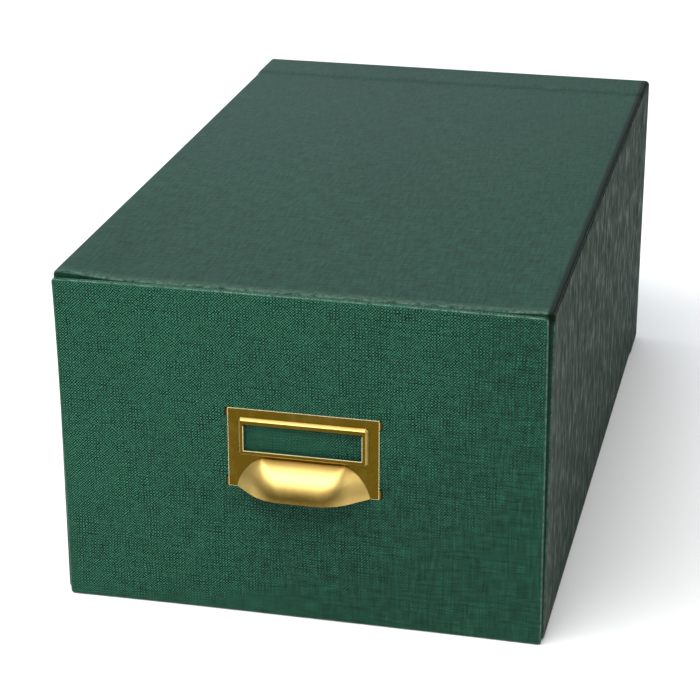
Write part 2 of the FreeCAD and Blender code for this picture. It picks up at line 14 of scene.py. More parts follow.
import bmesh
import bpy
import numpy as np
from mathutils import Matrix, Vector


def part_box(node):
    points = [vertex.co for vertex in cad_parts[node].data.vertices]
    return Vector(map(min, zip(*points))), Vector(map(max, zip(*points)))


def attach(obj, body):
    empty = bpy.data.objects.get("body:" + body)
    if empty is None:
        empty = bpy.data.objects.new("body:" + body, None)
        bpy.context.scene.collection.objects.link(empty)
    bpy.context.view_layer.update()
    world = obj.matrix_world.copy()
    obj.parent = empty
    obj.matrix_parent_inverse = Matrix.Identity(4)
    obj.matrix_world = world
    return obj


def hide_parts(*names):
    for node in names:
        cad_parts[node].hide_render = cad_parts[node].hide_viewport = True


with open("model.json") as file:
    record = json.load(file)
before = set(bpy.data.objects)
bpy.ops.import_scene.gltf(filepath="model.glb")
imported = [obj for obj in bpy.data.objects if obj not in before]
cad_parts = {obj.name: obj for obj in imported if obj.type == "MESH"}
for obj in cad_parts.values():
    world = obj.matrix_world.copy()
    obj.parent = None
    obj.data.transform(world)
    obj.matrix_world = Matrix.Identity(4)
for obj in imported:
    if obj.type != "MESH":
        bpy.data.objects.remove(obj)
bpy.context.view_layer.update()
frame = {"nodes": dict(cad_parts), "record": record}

MM = 0.001

# %% [markdown]
# The camera
#
# A camera fitted to the outline of the box stands to the right of the front and looks down on it.
# It could be placed by eye and nudged until the outlines agree. Here its place, its two angles and
# its lens come from that fit, so nothing is guessed twice. The lens is long, as for a catalogue.

# %% Camera
SENSOR_WIDTH = 36.0
FRAME_PIXELS = 700
FOCAL_PIXELS = 2218.6
CAMERA_PLACE = Vector((0.16951, -0.79631, 0.37581))
CAMERA_AZIMUTH = math.radians(12.990)
CAMERA_ELEVATION = math.radians(22.118)


def stand(name, data, place, direction):
    """An object for a camera or a lamp, at the place and turned along the direction."""
    item = bpy.data.objects.new(name, data)
    item.location = place
    item.rotation_mode = "QUATERNION"
    item.rotation_quaternion = direction.to_track_quat("-Z", "Y")
    bpy.context.collection.objects.link(item)
    return item


def make_camera():
    """A camera at CAMERA_PLACE that looks along its azimuth, down by its elevation."""
    lens = bpy.data.cameras.new("catalogue_camera")
    lens.sensor_width = SENSOR_WIDTH
    lens.lens = SENSOR_WIDTH * FOCAL_PIXELS / FRAME_PIXELS
    back = Vector((math.sin(CAMERA_AZIMUTH) * math.cos(CAMERA_ELEVATION),
                   -math.cos(CAMERA_AZIMUTH) * math.cos(CAMERA_ELEVATION),
                   math.sin(CAMERA_ELEVATION)))
    camera = stand("catalogue_camera", lens, CAMERA_PLACE, -back)
    bpy.context.scene.camera = camera
    return camera


camera = make_camera()
bpy.context.scene.view_settings.view_transform = "Standard"
print("lens in mm:", round(camera.data.lens, 1))

# %% [markdown]
# Materials as recipes
#
# A finish is a small graph of nodes, which could be dragged together in the shader editor. In a
# script it reads best as arithmetic, so a recipe keeps one material and has a short call for each
# kind of node that the finishes below use.

# %% Recipe
class Recipe:
    """One material, with short calls that add nodes and give back their result."""

    def __init__(self, name):
        self.material = bpy.data.materials.new(name)
        self.material.use_nodes = True
        self.tree = self.material.node_tree
        self.shader = self.tree.nodes["Principled BSDF"]

    def put(self, socket, value):
        """Links a result to a socket, or sets the socket to a number or a colour."""
        if isinstance(value, bpy.types.NodeSocket):
            self.tree.links.new(value, socket)
        elif isinstance(value, tuple) and len(socket.default_value) == 4:
            socket.default_value = (*value, 1)
        else:
            socket.default_value = value

    def node(self, kind, *values, **settings):
        """A new node with its settings, whose first inputs get the values."""
        node = self.tree.nodes.new(f"ShaderNode{kind}")
        for name, setting in settings.items():
            setattr(node, name, setting)
        for socket, value in zip(node.inputs, values):
            self.put(socket, value)
        return node

    def maths(self, operation, *values):
        return self.node("Math", *values, operation=operation).outputs[0]

    def times(self, first, second):
        return self.maths("MULTIPLY", first, second)

    def remap(self, value, low, high, to_low=0.0, to_high=1.0):
        """Carries low..high over to to_low..to_high, and stops at the ends."""
        return self.node("MapRange", value, low, high, to_low, to_high).outputs[0]

    def join(self, x, y, z=0.0):
        return self.node("CombineXYZ", x, y, z).outputs[0]

    def split(self, vector):
        return self.node("SeparateXYZ", vector).outputs

    def noise(self, place, scale, detail=2.0, roughness=0.5):
        """Soft noise about 0.5, with scale bumps to the unit of place."""
        node = self.node("TexNoise", place)
        for name, value in (("Scale", scale), ("Detail", detail), ("Roughness", roughness)):
            self.put(node.inputs[name], value)
        return node.outputs[0]

    def tint(self, share, first, second):
        """The colour between first and second, by share."""
        node = self.node("Mix", data_type="RGBA")
        for name, value in (("Factor_Float", share), ("A_Color", first), ("B_Color", second)):
            self.put([socket for socket in node.inputs if socket.identifier == name][0], value)
        return [socket for socket in node.outputs if socket.identifier == "Result_Color"][0]

    def attribute(self, name):
        return self.node("Attribute", attribute_name=name).outputs["Fac"]

    def coordinate(self, outlet):
        return self.node("TexCoord").outputs[outlet]

    def bump(self, height, depth):
        """Gives the surface bumps of the depth given in metres, where height goes from 0 to 1."""
        node = self.node("Bump")
        self.put(node.inputs["Height"], height)
        self.put(node.inputs["Distance"], depth)
        self.put(self.shader.inputs["Normal"], node.outputs[0])

    def finish(self, **sockets):
        """Sets the shader's sockets, by their names with _ for a space, and gives the material."""
        for name, value in sockets.items():
            self.put(self.shader.inputs[name.replace("_", " ")], value)
        return self.material


# %% [markdown]
# The floor and the light
#
# The main light is a long soft box, high in front and a little to the left. It lights the front at
# a slant, so that the grain of the cover shows, and draws the bright band along the cup of the pull.
# Dimmer ones fill in the other sides. A picture of a studio could surround the box instead, but
# lamps can be moved and dimmed one by one.

# %% Floor and light
FLOOR_REACH = 8.0
FLOOR_DARK = (0.86, 0.86, 0.86)
FLOOR_LIGHT = (0.90, 0.90, 0.90)


def make_floor():
    """A square of pale floor at z = 0."""
    recipe = Recipe("studio_floor")
    mottle = recipe.noise(recipe.coordinate("Object"), 3.0)
    recipe.finish(Base_Color=recipe.tint(mottle, FLOOR_DARK, FLOOR_LIGHT), Roughness=0.9)
    mesh = bpy.data.meshes.new("studio_floor")
    reach = FLOOR_REACH
    corners = [(-reach, -reach, 0), (reach, -reach, 0), (reach, reach, 0), (-reach, reach, 0)]
    mesh.from_pydata(corners, [], [(0, 1, 2, 3)])
    mesh.materials.append(recipe.material)
    floor = bpy.data.objects.new("studio_floor", mesh)
    bpy.context.collection.objects.link(floor)


def soft_light(name, place, target, size, watts, colour=(1, 1, 1)):
    """A rectangular soft box at place, turned towards target."""
    lamp = bpy.data.lights.new(name, "AREA")
    lamp.shape = "RECTANGLE"
    lamp.size, lamp.size_y = size
    lamp.energy = watts
    lamp.color = colour
    stand(name, lamp, place, Vector(target) - Vector(place))


def make_surroundings(colour, strength):
    """An even glow from all round."""
    world = bpy.data.worlds.new("studio")
    world.use_nodes = True
    background = world.node_tree.nodes["Background"]
    background.inputs["Color"].default_value = (*colour, 1)
    background.inputs["Strength"].default_value = strength
    bpy.context.scene.world = world


make_floor()
soft_light("overhead_softbox", (-0.1, -0.2, 2.3), (-0.05, -0.1, 0.0), (2.6, 1.6), 20)
soft_light("high_front_softbox", (-0.6, -1.5, 2.3), (0, -0.1, 0.06), (3.4, 1.2), 98)
soft_light("right_panel", (2.6, -0.9, 1.6), (0, -0.1, 0.06), (1.6, 1.2), 16)
soft_light("left_panel", (-2.8, 0.4, 1.3), (0, -0.1, 0.06), (1.6, 1.2), 19)
soft_light("back_panel", (-1.0, 2.6, 1.2), (0, 0.2, 0.1), (2.2, 1.6), 27, (0.78, 0.90, 1.0))
make_surroundings((0.95, 0.98, 1.0), 0.20)
print("soft boxes:", len(bpy.data.lights))

# %% [markdown]
# The cover paper
#
# The cover is paper, dyed dark green and pressed between engraved rollers, so that it looks woven.
# Its grain is a plain weave of small hills, each about half a millimetre wide, that stand where one
# thread passes over the other. A picture of cloth could be laid on, but it would blur when seen
# closely. Here the weave is worked out: the product of two cosines gives the hills, in some patches
# one of the two shows by itself as lines, and stretched noise makes each thread differ from its
# neighbour, as in flax. It is measured in millimetres along the sheet, so it turns with it.

# %% Linen grain
PITCH_ACROSS, PITCH_ALONG = 0.53, 0.50
BEND_ACROSS, BEND_ALONG = 2.4, 1.9
JOSTLE = 0.7
JOSTLE_SCALE = 0.45
LINES_SHOW = 0.36
LINE_SCALE = 0.16
THREAD_DRAWN = 0.12


def sheet_place(recipe):
    """The place on the sheet in millimetres, from the piece's own map."""
    x, y, _ = recipe.split(recipe.coordinate("UV"))
    return recipe.maths("DIVIDE", x, MM), recipe.maths("DIVIDE", y, MM)


def box_place(recipe):
    """The place in millimetres on a box: on each face the two directions that lie in it."""
    x, y, z = (recipe.maths("DIVIDE", part, MM) for part in recipe.split(recipe.coordinate("Object")))
    facing = [recipe.maths("ABSOLUTE", part) for part in recipe.split(recipe.coordinate("Normal"))]
    sideways = recipe.maths("GREATER_THAN", facing[0], 0.7)
    upward = recipe.maths("GREATER_THAN", facing[2], 0.7)
    across = recipe.maths("ADD", x, recipe.times(sideways, recipe.maths("SUBTRACT", y, x)))
    along = recipe.maths("ADD", z, recipe.times(upward, recipe.maths("SUBTRACT", y, z)))
    return across, along


def weave(recipe, flat, plain_across, plain_along):
    """The hills, the lines and the threads of the weave at a place on the sheet.

    The hills are cos(pi a / pitch) cos(pi b / pitch), where a, b is the place after it was bent over
    long stretches and jostled over short ones, so that no thread runs quite straight. The lines are
    each of the two cosines by itself, as strong as a noise of its own lets it be. The threads are
    noise drawn out along the one direction and along the other.
    """
    bend = recipe.noise(flat, 0.03, 3.0)
    jostle = recipe.noise(flat, JOSTLE_SCALE, 0.0)
    push = recipe.noise(recipe.join(plain_along, plain_across, 3.0), JOSTLE_SCALE, 0.0)
    across = recipe.maths("MULTIPLY_ADD", bend, BEND_ACROSS, plain_across)
    across = recipe.maths("MULTIPLY_ADD", jostle, JOSTLE, across)
    along = recipe.maths("MULTIPLY_ADD", bend, BEND_ALONG, plain_along)
    along = recipe.maths("MULTIPLY_ADD", push, JOSTLE, along)
    warp = recipe.maths("COSINE", recipe.times(across, math.pi / PITCH_ACROSS))
    weft = recipe.maths("COSINE", recipe.times(along, math.pi / PITCH_ALONG))
    hills = recipe.times(warp, weft)
    turned = recipe.join(plain_along, plain_across, 9.0)
    warp_seen = recipe.remap(recipe.noise(flat, LINE_SCALE, 1.0), 0.36, 0.70, 0.0, LINES_SHOW)
    weft_seen = recipe.remap(recipe.noise(turned, LINE_SCALE, 1.0), 0.36, 0.70, 0.0, LINES_SHOW)
    lined = recipe.maths("MULTIPLY_ADD", warp, warp_seen, recipe.times(weft, weft_seen))
    upright = recipe.join(across, recipe.times(along, THREAD_DRAWN))
    level = recipe.join(recipe.times(across, THREAD_DRAWN), along, 7.0)
    threads = recipe.maths("ADD", recipe.noise(upright, 1.0, 1.0, 0.6), recipe.noise(level, 1.0, 1.0, 0.6))
    return hills, lined, recipe.maths("SUBTRACT", threads, 1.0)


# %% [markdown]
# Painted sheen and shade on the case
#
# The cover of the case doesn't stay even. Its long walls carry a greyer tint in upright streaks, a
# painted sheen, paler near the mouth, a painted reflection, and they are shinier in some upright
# streaks than in others. Along the right edge of the top a band is painted dark, a painted shade.
# This could be painted by hand. Here noise drawn out along the height of the wall gives the streaks,
# and the place on the box says where they may show. The gloss has streaks of its own, wider ones,
# which still show when the wall is seen at a slant.

# %% Dust and gloss of the case
COVER_PAINTED_SHEEN = (0.023, 0.031, 0.023)
COVER_PAINTED_GLEAM = (0.105, 0.105, 0.090)
COVER_PAINTED_SHADE = (0.0, 0.005, 0.002)
COVER_ROUGH = 0.62
CASE_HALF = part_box("case_back_cover")[1][0]
CASE_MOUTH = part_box("case_wrap")[0][1]
NEAR_MOUTH = 45 * MM
SHADE_FROM, SHADE_TO = 115 * MM, 117 * MM
STREAK_RISE = 12.0


def paint_wall_sheen_and_shade(recipe, across, along, colour, height):
    """The colour with a painted sheen on the walls and a painted shade along the top's right edge, and the
    height and the roughness with their streaks.

    A share of the case's half width tells the walls from the top, and the right edge from the rest.
    """
    x, y, z = recipe.split(recipe.coordinate("Object"))
    outward = recipe.maths("DIVIDE", recipe.maths("ABSOLUTE", x), CASE_HALF)
    side = recipe.remap(outward, 0.995, 0.9995)
    streaks = recipe.noise(recipe.join(recipe.times(across, 0.2), along), 0.4, 2.0, 0.8)
    # The walls get a greyer tint in upright streaks: a painted sheen.
    painted_sheen = recipe.remap(streaks, 0.35, 0.65, 0.3, 0.65)
    colour = recipe.tint(recipe.times(side, painted_sheen), colour, COVER_PAINTED_SHEEN)
    # Near the mouth the walls are painted paler: a painted reflection.
    near = recipe.remap(y, CASE_MOUTH, CASE_MOUTH + NEAR_MOUTH, 0.35, 0.0)
    colour = recipe.tint(recipe.times(recipe.times(near, painted_sheen), side), colour, COVER_PAINTED_GLEAM)
    # Along the right edge of the top a band is painted dark: a painted shade of the rounded edge, which
    # faces away from the light.
    right = recipe.maths("DIVIDE", x, CASE_HALF)
    edge = recipe.times(recipe.remap(right, 0.965, 0.975), recipe.remap(right, 0.998, 0.9998, 1.0, 0.0))
    edge = recipe.times(edge, recipe.remap(z, SHADE_FROM, SHADE_TO))
    colour = recipe.tint(edge, colour, COVER_PAINTED_SHADE)
    rise = recipe.remap(side, 0.0, 1.0, 0.6, STREAK_RISE)
    height = recipe.maths("MULTIPLY_ADD", streaks, rise, height)
    wide = recipe.noise(recipe.join(recipe.times(across, 0.45), along), 0.22, 2.0, 0.7)
    gloss = recipe.remap(wide, 0.36, 0.64, -0.12, 0.33)
    return colour, height, recipe.maths("MULTIPLY_ADD", gloss, side, COVER_ROUGH)


# %% [markdown]
# The covers
#
# All the green covers are the same paper, but not in the same state. The false front has the
# crispest grain, whose contrast fades towards its lower right, a painted shading for raking light
# from the upper left. The case's grain is worn almost smooth, its copy is darker, a painted shade,
# and its walls carry a painted sheen. The drawer and the back are as new. So one function
# makes them all, and says by its settings how strong the grain is, how bright and how it is painted.

# %% Covers
COVER_DARK = (0.0005, 0.004, 0.002)
COVER_LIGHT = (0.0295, 0.172, 0.100)
COVER_RUBBED_AND_LIT = (0.13, 0.215, 0.165)
GRAIN_DEPTH = 0.09 * MM
SPECKS_AND_GLINTS, THREADS, CLOUDS = 0.8, 0.4, 0.12
# SLANT sets the direction across the false front of the painted shading of the grain.
SLANT = -0.9


def linen(name, place, rubbed_and_lit=0.0, grain=0.6, brightness=1.0, raking_fade=False, streaked=False):
    """Cover paper: from dark to light by the square of a share made of hills, lines, specks and threads.

    Grain scales the hills, and where asked their contrast falls off towards the lower right, a painted
    shading for raking light from the upper left. Another setting scales a pale band where the piece's
    own attribute asks for it: scuffing, and a painted highlight along the edge. Streaked paper has a
    painted sheen and a painted shade on the case's walls and top edge.
    """
    recipe = Recipe(name)
    across, along = place(recipe)
    flat = recipe.join(across, along)
    hills, lined, threads = weave(recipe, flat, across, along)
    patches = recipe.remap(recipe.noise(flat, 0.035, 2.0), 0.35, 0.65, 0.75 * grain, 1.2 * grain)
    # The grain's contrast is strong at the upper left and weak at the lower right: a painted shading for
    # raking light from the upper left.
    if raking_fade:
        slant = recipe.maths("MULTIPLY_ADD", across, SLANT, along)
        patches = recipe.times(patches, recipe.remap(slant, -10.0, 175.0, 0.18, 1.45))
    clouds = recipe.maths("SUBTRACT", recipe.noise(flat, 0.012, 3.0), 0.5)
    # The specks, and the squaring of the share below, give sparse light points in the colour: grain, and
    # painted glints on the threads.
    specks = recipe.maths("SUBTRACT", recipe.noise(flat, 0.85, 1.0, 0.5), 0.5)
    grains = recipe.maths("MULTIPLY_ADD", specks, SPECKS_AND_GLINTS, recipe.maths("ADD", hills, lined))
    share = recipe.maths("MULTIPLY_ADD", grains, patches, 0.5)
    share = recipe.maths("MULTIPLY_ADD", threads, THREADS, share)
    share = recipe.maths("MULTIPLY_ADD", clouds, CLOUDS, share)
    share = recipe.maths("POWER", recipe.remap(share, 0.0, 1.2, 0.0, 1.2), 2.0)
    colour = recipe.tint(recipe.times(share, brightness), COVER_DARK, COVER_LIGHT)
    height = recipe.maths("MULTIPLY_ADD", hills, 0.35, 0.5)
    height = recipe.maths("MULTIPLY_ADD", threads, 0.9, height)
    rough, depth = COVER_ROUGH, GRAIN_DEPTH
    # Where the piece's attribute asks for it the colour turns pale: scuffs, and a painted highlight along
    # rounded edges.
    if rubbed_and_lit:
        scuffs = recipe.remap(recipe.noise(flat, 0.5, 4.0, 0.7), 0.35, 0.7)
        worn_and_lit = recipe.times(recipe.attribute("rubbed_and_lit"), scuffs)
        colour = recipe.tint(recipe.times(worn_and_lit, rubbed_and_lit), colour, COVER_RUBBED_AND_LIT)
    if streaked:
        colour, height, rough = paint_wall_sheen_and_shade(recipe, across, along, colour, height)
        depth = GRAIN_DEPTH / 2
    recipe.bump(height, depth)
    return recipe.finish(Base_Color=colour, Roughness=rough, Specular_IOR_Level=0.12)


cover_front = linen("green_cover_front", sheet_place, rubbed_and_lit=1.4, grain=1.0, raking_fade=True)
# The case's copy of the paper is darker, by its brightness of 0.70: a painted shade over its top and walls.
cover_case = linen("green_cover_case", sheet_place, rubbed_and_lit=0.8, grain=0.12, brightness=0.70, streaked=True)
cover_boxed = linen("green_cover_boxed", box_place)
print("threads to a centimetre:", round(10 / PITCH_ACROSS), "across,", round(10 / PITCH_ALONG), "along")

# %% [markdown]
# Board, tape and papers
#
# What the cover hides is plain stationer's stuff: grey board full of fibres and flecks, brown
# gummed tape, a smooth dark sheet underneath, and cream lining paper inside the drawer. Each is
# noise at the scale of fibres, with a tone that shifts slowly over the sheet.

# %% Board, tape and papers
FIBRE_DEPTH = 0.03 * MM


def fibrous(name, dark, light, fleck, roughness, stretch=(1.0, 1.0, 1.0)):
    """Paper or board: fibres between a dark and a light tone, with flecks of a third."""
    recipe = Recipe(name)
    parts = recipe.split(recipe.coordinate("Object"))
    place = recipe.join(*(recipe.times(part, by / MM) for part, by in zip(parts, stretch)))
    fibres = recipe.noise(place, 1.6, 4.0, 0.65)
    cloud = recipe.noise(place, 0.03, 2.0)
    share = recipe.maths("MULTIPLY_ADD", recipe.maths("SUBTRACT", cloud, 0.5), 0.8, fibres)
    colour = recipe.tint(recipe.remap(share, 0.3, 0.7), dark, light)
    flecks = recipe.remap(recipe.noise(place, 0.75, 1.0), 0.66, 0.72, 0.0, 0.7)
    recipe.bump(fibres, FIBRE_DEPTH)
    return recipe.finish(Base_Color=recipe.tint(flecks, colour, fleck), Roughness=roughness,
                         Specular_IOR_Level=0.3)


finishes = {
    "green_cover": cover_boxed,
    "grey_board": fibrous("grey_board", (0.21, 0.195, 0.17), (0.36, 0.335, 0.30), (0.12, 0.11, 0.10), 0.9),
    "base_paper": fibrous("base_paper", (0.010, 0.02, 0.017), (0.022, 0.036, 0.031),
                          (0.03, 0.04, 0.036), 0.6),
    "lining_paper": fibrous("lining_paper", (0.62, 0.57, 0.46), (0.74, 0.70, 0.60), (0.50, 0.44, 0.34), 0.8),
    "gummed_tape": fibrous("gummed_tape", (0.27, 0.17, 0.085), (0.42, 0.29, 0.16), (0.20, 0.12, 0.06), 0.65,
                           stretch=(1.0, 0.08, 1.0)),
}
print("finishes so far:", ", ".join(finishes))

# %% [markdown]
# Brass
#
# The pull is thin steel sheet, brass plated and lacquered. Its tones are painted light: the flat of
# the plate and the lower band of the cup are painted dark, a painted shade for the dark surroundings
# that they mirror, and the cup, the slope of the frame round the label and the cut edges are painted
# bright, painted highlights. A painted mask could say which tone goes where. Here the distance in
# front of the plate says it.

# %% Brass
# The dark tone is a painted shade on the flat plate and the cup's lower band, the light one the brass's own
# colour, the pale one a painted highlight on cut edges.
BRASS_PAINTED_SHADE = (0.106, 0.064, 0.0007)
BRASS_BRIGHT = (0.60, 0.42, 0.13)
BRASS_PAINTED_GLINT = (0.95, 0.82, 0.50)
BRUSHED_ACROSS, BRUSHED_UP = 90.0, 2200.0
CUP_SHADED_BAND = 10.0 * MM
CUT_SHADE = 0.4 * MM


def brass(name, plate_face, plate_half, cup_top, window_middle, window_half):
    """Metal painted dark where it is flat, a painted shade, and painted bright on the cup, the frame's slope
    and cut edges, painted highlights.

    The places are told by how far they stand out from plate_face, the plate by being within
    plate_half of its middle, and the cup by being under cup_top. The window's edge is what lies
    within window_half of window_middle, each an x and a z, but for its upper side, which stays dull as
    painted shade.
    """
    recipe = Recipe(name)
    place = recipe.coordinate("Object")
    x, y, z = recipe.split(place)
    brushed = recipe.join(recipe.times(x, BRUSHED_ACROSS), y, recipe.times(z, BRUSHED_UP))
    fine = recipe.noise(brushed, 1.0, 3.0, 0.7)
    stains = recipe.noise(place, 160.0, 3.0, 0.6)
    out = recipe.maths("DIVIDE", recipe.maths("SUBTRACT", plate_face, y), MM)
    off_middle = recipe.maths("ABSOLUTE", recipe.maths("SUBTRACT", x, window_middle[0]))
    off_height = recipe.maths("ABSOLUTE", recipe.maths("SUBTRACT", z, window_middle[1] - CUT_SHADE))

    # The cup's lower band is painted dark, a painted shade; its upper part and its ends are painted bright,
    # painted highlights.
    cup_lit = recipe.remap(z, cup_top - CUP_SHADED_BAND, cup_top - CUP_SHADED_BAND / 2, 0.15, 1.0)
    cup_lit = recipe.maths("MAXIMUM", cup_lit, recipe.remap(off_middle, 8 * MM, 17 * MM))
    cup = recipe.times(recipe.maths("LESS_THAN", z, cup_top), recipe.remap(out, 0.0, 0.4))
    cup = recipe.times(cup, cup_lit)
    # The frame's slope is painted bright, a painted highlight; the share below adds up all the painted
    # brightness.
    slope = recipe.times(recipe.remap(out, 0.05, 0.3), recipe.remap(out, 1.1, 1.27, 1.0, 0.0))
    # The plate's cut edges are painted pale: a painted highlight.
    cut = recipe.times(recipe.remap(out, -0.04, 0.0, 1.0, 0.0),
                       recipe.maths("LESS_THAN", off_middle, plate_half))
    raised = recipe.maths("MAXIMUM", cup, recipe.maths("MAXIMUM", recipe.times(slope, 0.8), cut))
    # The window's cut edges get it too, all but the upper one, which stays dull: painted shade.
    window_glint = recipe.times(recipe.maths("LESS_THAN", off_middle, window_half[0]),
                       recipe.maths("LESS_THAN", off_height, window_half[1] - CUT_SHADE))
    cut = recipe.maths("MAXIMUM", cut, window_glint)

    share = recipe.maths("MULTIPLY_ADD", recipe.maths("SUBTRACT", stains, 0.5), 0.3, raised)
    colour = recipe.tint(recipe.remap(share, 0.0, 1.0), BRASS_PAINTED_SHADE, BRASS_BRIGHT)
    colour = recipe.tint(cut, colour, BRASS_PAINTED_GLINT)
    rough = recipe.remap(recipe.maths("MULTIPLY_ADD", fine, 0.5, stains), 0.4, 1.1, 0.36, 0.46)
    rough = recipe.maths("MAXIMUM", rough, recipe.times(cut, 0.5))
    recipe.bump(fine, 0.004 * MM)
    return recipe.finish(Base_Color=colour, Metallic=1.0, Roughness=rough, Coat_Weight=0.1,
                         Coat_Roughness=0.3)


# %% [markdown]
# Sheets from grids
#
# Every new piece is a sheet bent round something: paper round board, brass round a die. Such a
# sheet is a grid of points, worked out as whole arrays. The helper turns the arrays into a mesh,
# drops the faces that a mask leaves out, closes seams, and gives each corner its place on the flat
# sheet in metres, which the linen grain reads. Pushing and pulling a cube could get near, but a
# function keeps every bend exact and lets a size be changed later.

# %% Sheets from grids
SEAM = 0.004
SHARP_FROM = math.radians(35)


def build_grid(places, flat, keep=None, rubbed_and_lit=None):
    """Points, faces, flat places and the pale band, scuffed and with a painted highlight, of one grid of
    rows x columns.

    A face's front is where the direction along the rows, crossed with the one along the columns,
    points.
    """
    rows, columns = places.shape[:2]
    index = np.arange(rows * columns).reshape(rows, columns)
    faces = np.stack([index[:-1, :-1], index[1:, :-1], index[1:, 1:], index[:-1, 1:]], axis=-1)
    faces = faces[np.ones(faces.shape[:2], bool) if keep is None else keep]
    worn_and_lit = np.zeros((rows, columns)) if rubbed_and_lit is None else np.broadcast_to(rubbed_and_lit, (rows, columns))
    return places.reshape(-1, 3), faces.reshape(-1, 4), flat.reshape(-1, 2), worn_and_lit.reshape(-1)


def make_sheet(name, grids, material, thickness=0.0, cut_round=0.0):
    """An object from grids in millimetres, with closed seams and, if asked, a thickness inwards."""
    offsets = np.cumsum([0] + [len(grid[0]) for grid in grids])
    points = np.concatenate([grid[0] for grid in grids]) * MM
    faces = np.concatenate([grid[1] + offset for grid, offset in zip(grids, offsets)])
    flat = np.concatenate([grid[2] for grid in grids]) * MM
    worn_and_lit = np.concatenate([grid[3] for grid in grids])
    mesh = bpy.data.meshes.new(name)
    mesh.from_pydata(points.tolist(), [], faces.tolist())
    mesh.uv_layers.new(name="flat_sheet").data.foreach_set("uv", flat[faces.ravel()].ravel())
    mesh.attributes.new("rubbed_and_lit", "FLOAT", "POINT").data.foreach_set("value", worn_and_lit)
    mesh.materials.append(material)
    work = bmesh.new()
    work.from_mesh(mesh)
    bmesh.ops.remove_doubles(work, verts=work.verts, dist=SEAM * MM)
    bmesh.ops.delete(work, geom=[point for point in work.verts if not point.link_faces], context="VERTS")
    work.to_mesh(mesh)
    work.free()
    piece = bpy.data.objects.new(name, mesh)
    bpy.context.collection.objects.link(piece)
    if thickness:
        shell = piece.modifiers.new("thickness", "SOLIDIFY")
        shell.thickness = thickness * MM
        shell.offset = -1
        shell.use_even_offset = cut_round > 0
        shell.material_offset_rim = 1
        mesh.materials.append(material)
        settle(piece)
        round_cut_edges(piece, cut_round)
    piece.data.shade_smooth()
    piece.data.set_sharp_from_angle(angle=SHARP_FROM)
    return piece


# %% Finishing a sheet
def settle(piece):
    """Makes the modifiers' result the piece's own mesh."""
    graph = bpy.context.evaluated_depsgraph_get()
    mesh = bpy.data.meshes.new_from_object(piece.evaluated_get(graph))
    piece.modifiers.clear()
    piece.data = mesh
    mesh.name = piece.name


def round_cut_edges(piece, radius):
    """Rounds a sheet's cut edges, which Solidify gave the second material slot, and frees the slot."""
    work = bmesh.new()
    work.from_mesh(piece.data)
    cut = [edge for edge in work.edges if len({face.material_index for face in edge.link_faces}) == 2]
    if radius:
        bmesh.ops.bevel(work, geom=cut, offset=radius * MM, segments=2, profile=0.5, affect="EDGES",
                        clamp_overlap=False)
    for face in work.faces:
        face.material_index = 0
    work.to_mesh(piece.data)
    work.free()
    piece.data.materials.pop(index=1)


# %% Measures
def corners(node):
    """The lowest and highest corner of a node, in millimetres."""
    low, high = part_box(node)
    return np.array(low) / MM, np.array(high) / MM


def span(start, end, steps):
    """The ends of equal steps from start to end."""
    return np.linspace(start, end, steps + 1)


def stacked(*parts):
    """The parts as the last axis of one array, each spread to the shape that they share."""
    return np.stack(np.broadcast_arrays(*parts), axis=-1)


def run_length(*rows):
    """How far along a line of points each one is, from the first."""
    steps = np.sqrt(sum(np.diff(row) ** 2 for row in rows))
    return np.concatenate([[0], np.cumsum(steps)])


# %% [markdown]
# The sag of the top
#
# The top of the case is a wide board with nothing under its middle, and at the mouth no cross wall
# holds it up. It has gone down by a millimetre there, while the side walls hold its long edges
# high. The same amount is taken from everything at the top: the cover, the board and the tape.

# %% Sag
wrap_low, wrap_high = corners("case_wrap")
back_low, back_high = corners("case_back_cover")
side_low, side_high = corners("case_right_board")
case_x, case_z = back_high[0], back_high[2]
mouth_y, wrap_end_y, turn_y = wrap_low[1], wrap_high[1], back_low[1]
under_z = wrap_low[2]
cover = case_x - side_high[0]
wall = side_high[0] - side_low[0]
FITTED = 0.98

SAG = 1.15
LEFT_CORNER, LEFT_SHOULDER = 0.3, 26.0
RIGHT_CORNER, RIGHT_SHOULDER = -0.5, 18.0
SAG_REACH = 170.0


def ease(share):
    """From 0 to 1 with a level start and end."""
    share = np.clip(share, 0, 1)
    return share * share * (3 - 2 * share)


def sag(places):
    """Lowers the top by SAG in the middle of the mouth, and by its own amount at each corner.

    From a corner to the middle the drop eases over the shoulder's width. It fades out towards the
    back, and down the walls, whose lower half keeps its place.
    """
    x, y, z = places[..., 0], places[..., 1], places[..., 2]
    left = ease((x + case_x) / LEFT_SHOULDER)
    right = ease((case_x - x) / RIGHT_SHOULDER)
    drop = SAG - (SAG + LEFT_CORNER) * (1 - left) - (SAG + RIGHT_CORNER) * (1 - right)
    fade = 1 - ease((y - mouth_y) / SAG_REACH)
    height = np.clip(2 * z / case_z - 1, 0, 1)
    return stacked(x, y, z - drop * fade * height)


print("case in mm:", round(case_x * 2, 1), "wide,", round(case_z, 1), "high, mouth at", round(mouth_y, 2))

# %% [markdown]
# The case's cover
#
# One sheet goes over the left wall, the top and the right wall. Its ends are turned under the base,
# and its front edge is turned round the mouth onto the inside. It could be cut from a box with
# bevels, but a turned edge is one smooth roll of paper. So it is a line across the box, carried
# from front to back: an inset says how far inside the outer skin the sheet runs at each place, and
# the roll at the mouth, the turn-in and the ridge over the back cover's edge are all just insets.

# %% Cover of the case
LONG_ROUND = 1.4
EDGE_ROUND = 0.8
MOUTH_TURN = 18.0
UNDER_TURN = 20.0
RIDGE_RUN = 6.0
FLAP_LINES = (70.0, 75.0, 79.0)
TOP_STEPS, WALL_STEPS, ROUND_STEPS = 64, 30, 6
ROLL_WORN_LIT, ROLL_WORN_LIT_WIDE = 0.2, 0.3
quarter = np.radians(span(0, 90, ROUND_STEPS))


